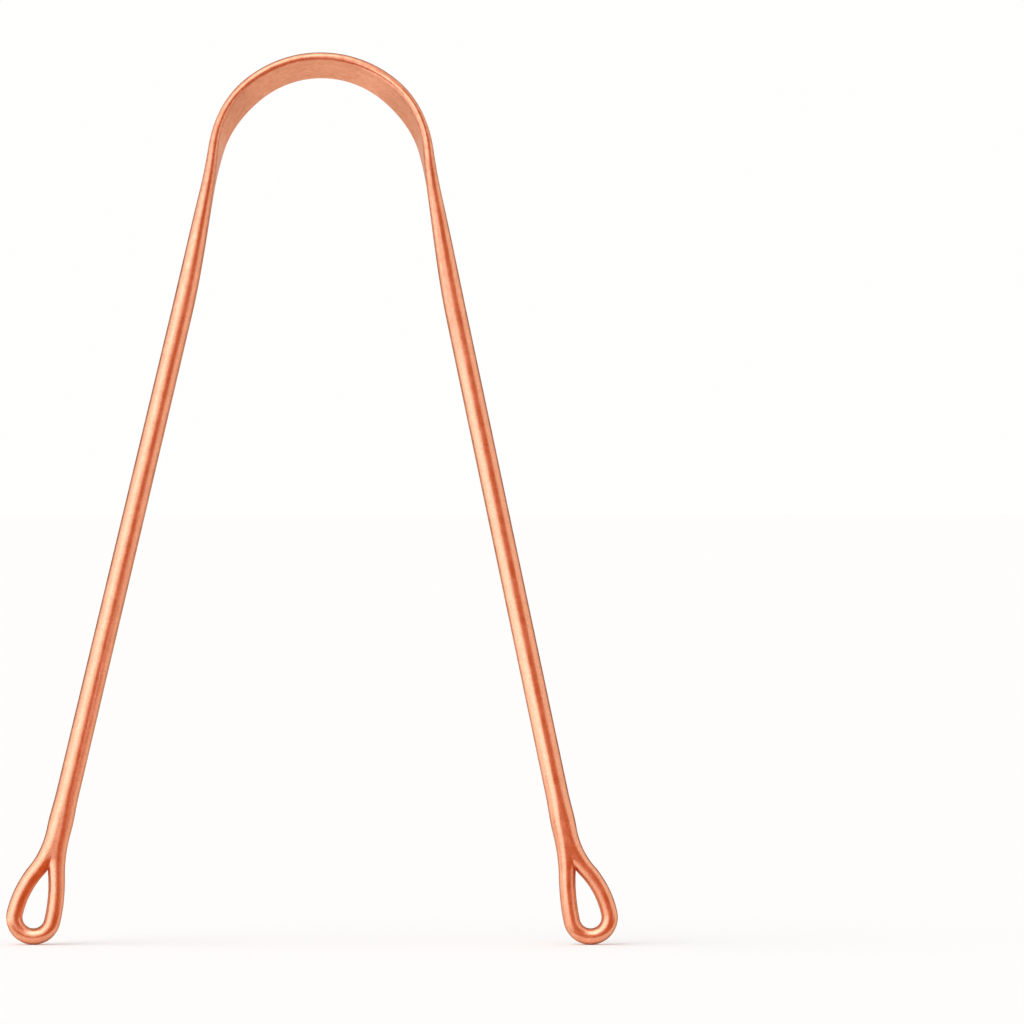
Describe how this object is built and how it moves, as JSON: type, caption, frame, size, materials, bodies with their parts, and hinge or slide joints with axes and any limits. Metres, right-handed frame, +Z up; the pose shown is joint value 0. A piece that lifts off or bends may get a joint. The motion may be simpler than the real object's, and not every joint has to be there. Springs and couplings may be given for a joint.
{
  "type": "tongue scraper",
  "caption": "U-shaped copper tongue scraper: a flat tilted bow between two springy round arms, each ending in a closed teardrop eye.",
  "frame": {"origin": "on the floor under the upright part, midway between the outer sides of its two eyes and in the middle of the strip's width", "axes": "+Z up from the eyes to the bow, +X across the arms to the right seen from the front, +Y through the strip's width towards the back"},
  "size_m": [0.099, 0.0072, 0.1444],
  "materials": {
    "strip_copper": "satin copper with fine lengthwise brushing",
    "rod_copper": "satin copper",
    "braze_copper": "copper filler, smoothed to the wire"
  },
  "bodies": {
    "left_side": {"left_shoulder": "strip_copper", "left_arm": "rod_copper", "left_eye": "rod_copper", "left_eye_braze": "braze_copper"},
    "bow": {"scraping_bow": "strip_copper"},
    "right_side": {"right_shoulder": "strip_copper", "right_arm": "rod_copper", "right_eye": "rod_copper", "right_eye_braze": "braze_copper"}
  },
  "joints": [
    {"name": "left_arm_flex", "type": "hinge", "parent": "left_side", "child": "bow", "pos_m": [-0.00973, 0, 0.13839], "axis": [0, -1, 0], "range_deg": [-4, 4], "stiffness_Nm_per_rad": 7},
    {"name": "right_arm_flex", "type": "hinge", "parent": "bow", "child": "right_side", "pos_m": [0.01264, 0, 0.13839], "axis": [0, -1, 0], "range_deg": [-4, 4], "stiffness_Nm_per_rad": 7}
  ]
}
